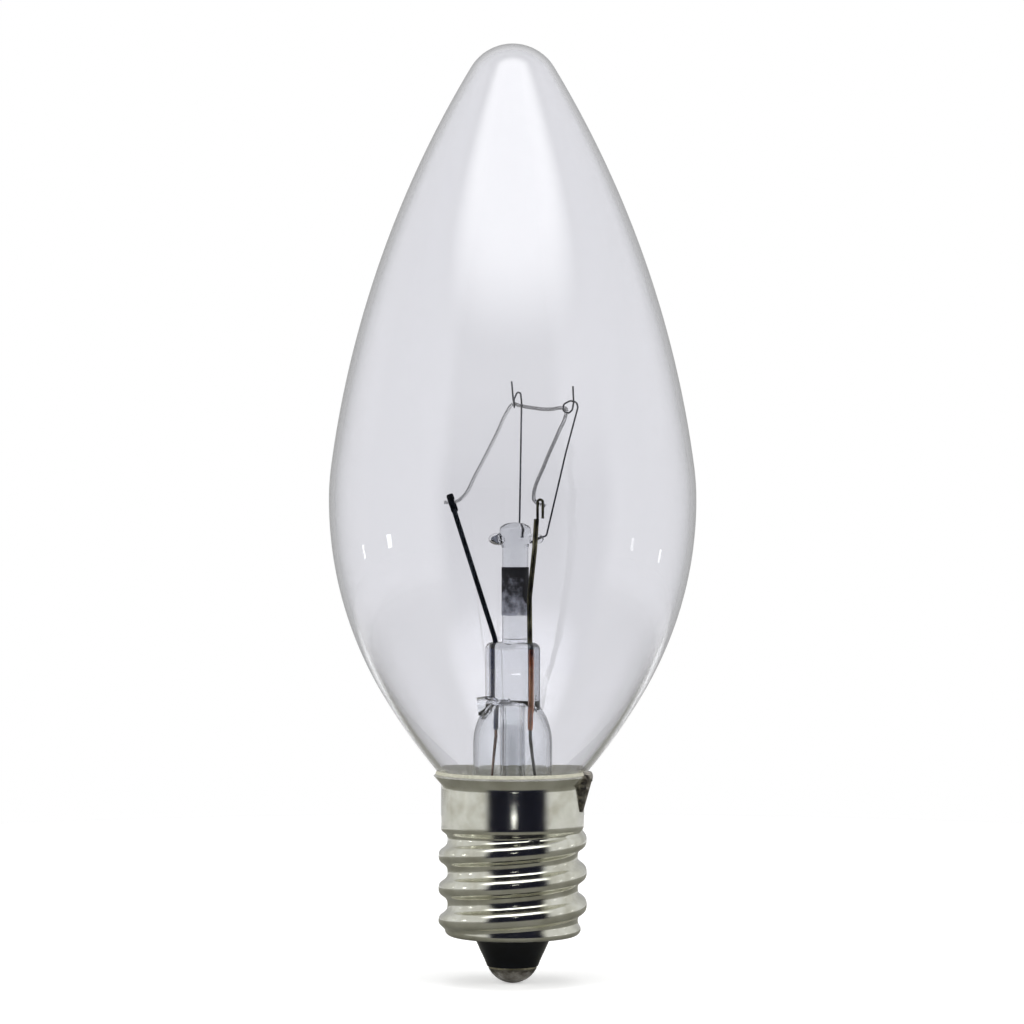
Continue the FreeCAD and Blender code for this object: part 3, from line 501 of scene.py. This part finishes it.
# Solder: tin-lead, dropped on the centre contact and drawn down over the side lead.
# It froze with a fine crumpled skin, bright grey with darker flux-stained patches.

solder, tree, shader = new_material("frozen_tin_lead_solder", Metallic=1.0)
stain = pattern(tree, 0.7, detail=5.0)
tree.links.new(add_ramp(tree, stain, (0.3, "#5C574F"), (0.55, "#8F8B83"), (0.8, "#B7B4AE")),
               shader.inputs["Base Color"])
tree.links.new(add_range(tree, stain, 0.4, 0.22), shader.inputs["Roughness"])
add_bump(tree, shader, pattern(tree, 0.45, detail=3.0), 0.25, 1.0)
for name in ("center_solder", "side_solder"):
    dress(name, solder)

# Studio: pale floor and white surroundings, as in a light tent with an opening for the camera.
# Two soft lamps from the sides and one from above light the bulb at a plain level.

FLOOR_RADIUS, FLOOR_GLOW, FLOOR_GLOW_IN_GLASS = 0.15, 0.4, 0.08
# Levels of the tent: seen, as light, mirrored from the sides and from ahead, and its top light
TENT_SEEN, TENT_LIGHT, TENT_SIDES, TENT_AHEAD, TOP_LIGHT_LEVEL = 1.0, 0.4, 0.9, 0.5, 3.9
SIDES_TO, AHEAD_FROM = 0.55, 1.0
TOP_LIGHT, TOP_LIGHT_SLIMNESS = (0.0, -0.5, 0.86), (0.55, 1, 1)
TOP_LIGHT_EDGE, TOP_LIGHT_FULL = 0.86, 0.97


def blend(tree, share, low, high):
    """Value that goes from low to high with the share."""
    return add_node(tree, "ShaderNodeMix", Factor=share, _2=low, _3=high).outputs[0]


def seen_share(tree):
    """1 for what the camera sees directly or straight through glass, else 0."""
    rays = add_node(tree, "ShaderNodeLightPath").outputs
    return add_node(tree, "ShaderNodeMath", {"operation": "MAXIMUM"}, _0=rays["Is Camera Ray"],
                    _1=rays["Is Transmission Ray"]).outputs[0]


def mirrored_share(tree):
    """1 for what metal or glass mirrors, else 0; light on a dull surface doesn't count."""
    rays = add_node(tree, "ShaderNodeLightPath").outputs
    mirrored = add_node(tree, "ShaderNodeMath", {"operation": "SUBTRACT"}, _0=rays["Glossy Depth"],
                        _1=rays["Diffuse Depth"]).outputs[0]
    return add_node(tree, "ShaderNodeMath", {"operation": "GREATER_THAN"}, _0=mirrored,
                    _1=0.5).outputs[0]


bpy.ops.mesh.primitive_circle_add(vertices=96, radius=FLOOR_RADIUS, fill_type="NGON")
floor = bpy.context.object
floor.name = "floor"
pale_floor, tree, shader = new_material("pale_paper_floor", Base_Color=linear("#F2F2F2"),
                                        Roughness=1.0, Emission_Color=(1, 1, 1, 1))
rays = add_node(tree, "ShaderNodeLightPath").outputs
through_glass = add_range(tree, rays["Is Transmission Ray"], 0.0, FLOOR_GLOW_IN_GLASS)
tree.links.new(blend(tree, rays["Is Camera Ray"], through_glass, FLOOR_GLOW),
               shader.inputs["Emission Strength"])
floor.data.materials.append(pale_floor)

world = bpy.data.worlds.new("light_tent")
bpy.context.scene.world = world
world.use_nodes = True
tree = world.node_tree
tree.nodes.clear()
direction = add_node(tree, "ShaderNodeTexCoord").outputs["Generated"]
ahead = add_node(tree, "ShaderNodeSeparateXYZ", Vector=direction).outputs["Y"]
cloth_level = add_node(tree, "ShaderNodeMapRange", Value=ahead, From_Min=SIDES_TO,
                       From_Max=AHEAD_FROM, To_Min=TENT_SIDES, To_Max=TENT_AHEAD).outputs["Result"]
widened = add_node(tree, "ShaderNodeVectorMath", {"operation": "MULTIPLY"}, _0=direction,
                   _1=TOP_LIGHT_SLIMNESS).outputs[0]
widened = add_node(tree, "ShaderNodeVectorMath", {"operation": "NORMALIZE"},
                   _0=widened).outputs[0]
nearness = add_node(tree, "ShaderNodeVectorMath", {"operation": "DOT_PRODUCT"}, _0=widened,
                    _1=Vector(TOP_LIGHT).normalized()).outputs["Value"]
top_light = add_node(tree, "ShaderNodeMapRange", {"interpolation_type": "SMOOTHSTEP"},
                     Value=nearness, From_Min=TOP_LIGHT_EDGE,
                     From_Max=TOP_LIGHT_FULL).outputs["Result"]
mirrored_level = blend(tree, top_light, cloth_level, TOP_LIGHT_LEVEL)
level = blend(tree, seen_share(tree), TENT_LIGHT, TENT_SEEN)
level = blend(tree, mirrored_share(tree), level, mirrored_level)
tent = add_node(tree, "ShaderNodeBackground", Color=(1, 1, 1, 1), Strength=level)
add_node(tree, "ShaderNodeOutputWorld", Surface=tent.outputs[0])


def lamp(name, spot, wide, high, power):
    """Soft rectangular lamp that looks at the middle of the bulb."""
    bpy.ops.object.light_add(type="AREA", location=spot)
    light = bpy.context.object
    light.name = name
    light.data.shape = "RECTANGLE"
    light.data.size, light.data.size_y = wide, high
    light.data.energy = power
    aim = Vector((0, 0, 0.04)) - Vector(spot)
    light.rotation_euler = aim.to_track_quat("-Z", "Y").to_euler()
    light.visible_glossy = light.visible_transmission = False


lamp("left_softbox", (-0.7, -0.45, 0.45), 0.4, 0.6, 3.2)
lamp("right_softbox", (0.7, -0.45, 0.45), 0.4, 0.6, 3.2)
lamp("overhead_softbox", (0, -0.1, 0.9), 0.5, 0.5, 2.2)

# Camera opening: dark cloth round the lens and a grey table under the bulb, seen in gloss only.
# Their edges fade, as they lie out of focus; angles in degrees from the lens, sizes in mm.

OPENING_LEFT, OPENING_RIGHT, OPENING_TOP = -46, 60, 66
OPENING_NEAR, OPENING_FAR, OPENING_SIDE_FADE, OPENING_TOP_FADE = 30, 45, 14, 30
TABLE_NEAR, TABLE_FULL, TABLE_EDGE = 2.0, 60, 112
OPENING_HEIGHT, TABLE_HEIGHT = 0.4, 0.3


def gloss_cloth(piece, colour, find_fades):
    """Cloth that only metal and glass mirror; a fade is a value, its edge and its full place."""
    cloth, tree, shader = new_material(piece.name + "_cloth", Base_Color=linear(colour),
                                       Roughness=0.9)
    share = mirrored_share(tree)
    for value, edge, full in find_fades(tree, place_in_mm(tree)):
        fade = add_node(tree, "ShaderNodeMapRange", {"interpolation_type": "SMOOTHSTEP"},
                        Value=value, From_Min=edge, From_Max=full).outputs["Result"]
        share = add_node(tree, "ShaderNodeMath", {"operation": "MULTIPLY"}, _0=share,
                         _1=fade).outputs[0]
    clear = add_node(tree, "ShaderNodeBsdfTransparent").outputs[0]
    faded = add_node(tree, "ShaderNodeMixShader", _0=share, _1=clear, _2=shader.outputs[0])
    tree.links.new(faded.outputs[0], tree.nodes["Material Output"].inputs["Surface"])
    piece.data.materials.append(cloth)
    piece.visible_camera = piece.visible_diffuse = piece.visible_shadow = False


def opening_fades(tree, place):
    spots = add_node(tree, "ShaderNodeSeparateXYZ", Vector=place).outputs
    front = add_node(tree, "ShaderNodeMath", {"operation": "MULTIPLY"}, _0=spots["Y"], _1=-1.0)
    aside = add_node(tree, "ShaderNodeMath", {"operation": "ARCTAN2"}, _0=spots["X"],
                     _1=front.outputs[0]).outputs[0]
    left, right = math.radians(OPENING_LEFT), math.radians(OPENING_RIGHT)
    way = math.radians(OPENING_SIDE_FADE)
    return [(aside, left, left + way), (aside, right, right - way),
            (spots["Z"], OPENING_TOP, OPENING_TOP - OPENING_TOP_FADE)]


def table_fades(tree, place):
    distance = add_node(tree, "ShaderNodeVectorMath", {"operation": "LENGTH"}, _0=place)
    return [(distance.outputs["Value"], TABLE_EDGE, TABLE_FULL)]


opening_outline = [(OPENING_NEAR, OPENING_HEIGHT), (OPENING_FAR, OPENING_HEIGHT),
                   (OPENING_FAR, OPENING_TOP)]
gloss_cloth(spun("camera_opening", opening_outline, 40, OPENING_LEFT - 90, OPENING_RIGHT - 90,
                 closed=False), "#0A0E2C", opening_fades)
table_outline = [(TABLE_NEAR, TABLE_HEIGHT), (TABLE_EDGE, TABLE_HEIGHT)]
gloss_cloth(spun("grey_table", table_outline, 48, closed=False), "#93928A", table_fades)

# Bright patches: the gap round the lens and the panes of two windows, seen in gloss only.
# They make the small highlights on the rolled metal and on both sides of the glass.


def bright_patch(name, azimuth, distance, height, wide, high, glow):
    """Small bright patch that faces the axis; azimuth in degrees from the lens, sizes in mm."""
    turn = math.radians(azimuth)
    bpy.ops.mesh.primitive_plane_add(size=1, rotation=(math.pi / 2, 0, turn), location=(
        distance * MM * math.sin(turn), -distance * MM * math.cos(turn), height * MM))
    patch = bpy.context.object
    patch.name = name
    patch.scale = (wide * MM, high * MM, 1)
    bpy.ops.object.transform_apply(location=True, rotation=True, scale=True)
    pane, _, _ = new_material(name + "_glow", Emission_Color=(1, 1, 1, 1), Emission_Strength=glow)
    patch.data.materials.append(pane)
    patch.visible_camera = patch.visible_diffuse = patch.visible_transmission = False
    patch.visible_shadow = False


bright_patch("lens_patch", 2, 20, 12, 2.2, 0.55, 5)
bright_patch("window_left_near", -79.5, 117, 17, 7, 7, 9)
bright_patch("window_left_far", -104, 117, 16, 4, 6, 5)
bright_patch("window_right_near", 77, 117, 15, 4.5, 7, 3.5)
bright_patch("window_right_far", 103, 117, 14, 4.5, 6, 4)

# Camera: a long lens at the height of the glass belly, level, as the photograph was taken.
# It stands 272 mm in front of the axis, and the colours are shown as they are.

bpy.ops.object.camera_add(location=(-0.00005, -0.272, 0.0368), rotation=(math.pi / 2, 0, 0))
camera = bpy.context.object
camera.name = "photo_camera"
camera.data.sensor_width = 36
camera.data.lens = 122.3
camera.data.clip_start = 0.01
bpy.context.scene.camera = camera
bpy.context.scene.view_settings.view_transform = "Standard"
